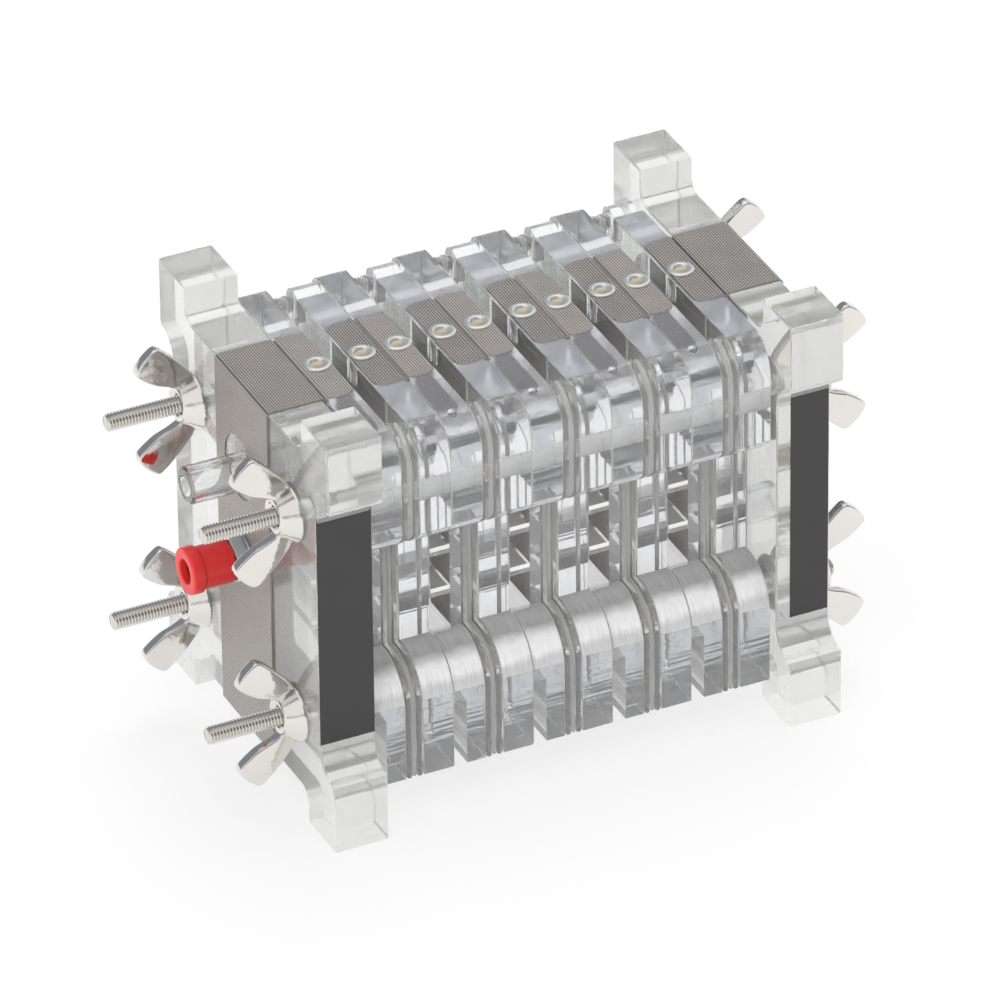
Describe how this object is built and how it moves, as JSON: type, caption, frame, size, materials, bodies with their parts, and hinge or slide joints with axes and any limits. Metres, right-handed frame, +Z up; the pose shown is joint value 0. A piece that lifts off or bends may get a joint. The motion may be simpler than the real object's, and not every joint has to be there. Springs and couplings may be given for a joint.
{
  "type": "fuel cell stack",
  "caption": "Desktop fuel cell stack: clear end plates and lobed cell plates with mesh current collectors, clamped by tie studs and wing nuts, with gas nozzles and plug sockets.",
  "frame": {"origin": "middle of the underside of the object's box, on the table", "axes": "+X along the stack towards the black socket, +Y from the front edge that carries the labels to the back, +Z up"},
  "size_m": [0.1478, 0.0808, 0.0959],
  "materials": {
    "clear_acrylic": "clear, polished",
    "clear_seal": "clear, slightly milky",
    "membrane_film": "satin",
    "steel_mesh": "plain weave",
    "stud_steel": "bright threaded",
    "nickel_plate": "bright plated casting",
    "zinc_plate": "satin plated",
    "red_plastic": "gloss",
    "black_plastic": "gloss"
  },
  "bodies": {
    "root": {"air_plate_1": "clear_acrylic", "air_collector_1": "steel_mesh", "air_gasket_1": "clear_seal", "membrane_1": "membrane_film", "hydrogen_gasket_1": "clear_seal", "hydrogen_plate_1": "clear_acrylic", "hydrogen_collector_1": "steel_mesh", "air_plate_2": "clear_acrylic", "air_collector_2": "steel_mesh", "air_gasket_2": "clear_seal", "membrane_2": "membrane_film", "hydrogen_gasket_2": "clear_seal", "hydrogen_plate_2": "clear_acrylic", "hydrogen_collector_2": "steel_mesh", "air_plate_3": "clear_acrylic", "air_collector_3": "steel_mesh", "air_gasket_3": "clear_seal", "membrane_3": "membrane_film", "hydrogen_gasket_3": "clear_seal", "hydrogen_plate_3": "clear_acrylic", "hydrogen_collector_3": "steel_mesh", "air_plate_4": "clear_acrylic", "air_collector_4": "steel_mesh", "air_gasket_4": "clear_seal", "membrane_4": "membrane_film", "hydrogen_gasket_4": "clear_seal", "hydrogen_plate_4": "clear_acrylic", "hydrogen_collector_4": "steel_mesh", "air_plate_5": "clear_acrylic", "air_collector_5": "steel_mesh", "air_gasket_5": "clear_seal", "membrane_5": "membrane_film", "hydrogen_gasket_5": "clear_seal", "hydrogen_plate_5": "clear_acrylic", "hydrogen_collector_5": "steel_mesh", "end_plate_left": "clear_acrylic", "end_strip_left": "steel_mesh", "gas_inlet_nozzle": "clear_acrylic", "positive_socket_cap": "red_plastic", "positive_socket_contact": "nickel_plate", "positive_socket_nut": "zinc_plate", "wing_nut_left_1": "nickel_plate", "wing_nut_left_2": "nickel_plate", "wing_nut_left_3": "nickel_plate", "wing_nut_left_4": "nickel_plate", "end_plate_right": "clear_acrylic", "end_strip_right": "steel_mesh", "gas_outlet_nozzle": "clear_acrylic", "negative_socket_cap": "black_plastic", "negative_socket_contact": "nickel_plate", "negative_socket_nut": "zinc_plate", "wing_nut_right_1": "nickel_plate", "wing_nut_right_2": "nickel_plate", "wing_nut_right_3": "nickel_plate", "wing_nut_right_4": "nickel_plate", "tie_stud_1": "stud_steel", "tie_stud_2": "stud_steel", "tie_stud_3": "stud_steel", "tie_stud_4": "stud_steel"}
  },
  "joints": []
}
